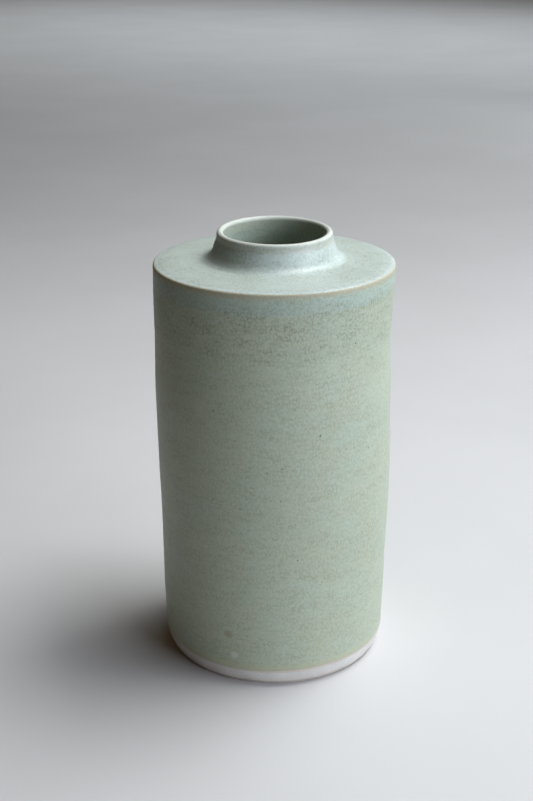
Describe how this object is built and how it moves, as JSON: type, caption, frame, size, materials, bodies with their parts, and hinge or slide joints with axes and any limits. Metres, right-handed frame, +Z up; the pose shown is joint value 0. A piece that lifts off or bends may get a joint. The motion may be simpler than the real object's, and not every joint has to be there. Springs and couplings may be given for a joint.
{
  "type": "stoneware bottle vase",
  "caption": "Straight-sided stoneware bottle vase with a flat shoulder, a short flared neck and a sage green glaze over bare buff clay at the foot.",
  "frame": {"origin": "centre of the foot's flat underside, on the surface that the vase stands on", "axes": "+Z up along the vase's turning axis, from the foot to the lip; X and Y are free, because every piece is turned"},
  "size_m": [0.0936, 0.0936, 0.173],
  "materials": {
    "stoneware_clay": "bare fired buff stoneware, matte and slightly gritty",
    "celadon_glaze": "satin sage green glaze, finely mottled, with iron specks",
    "liner_glaze": "the same satin sage green glaze, poured inside"
  },
  "bodies": {
    "root": {"foot_disc": "stoneware_clay", "wall_cylinder": "stoneware_clay", "shoulder_disc": "stoneware_clay", "neck_collar": "stoneware_clay", "outer_glaze": "celadon_glaze", "inner_glaze": "liner_glaze"}
  },
  "joints": []
}
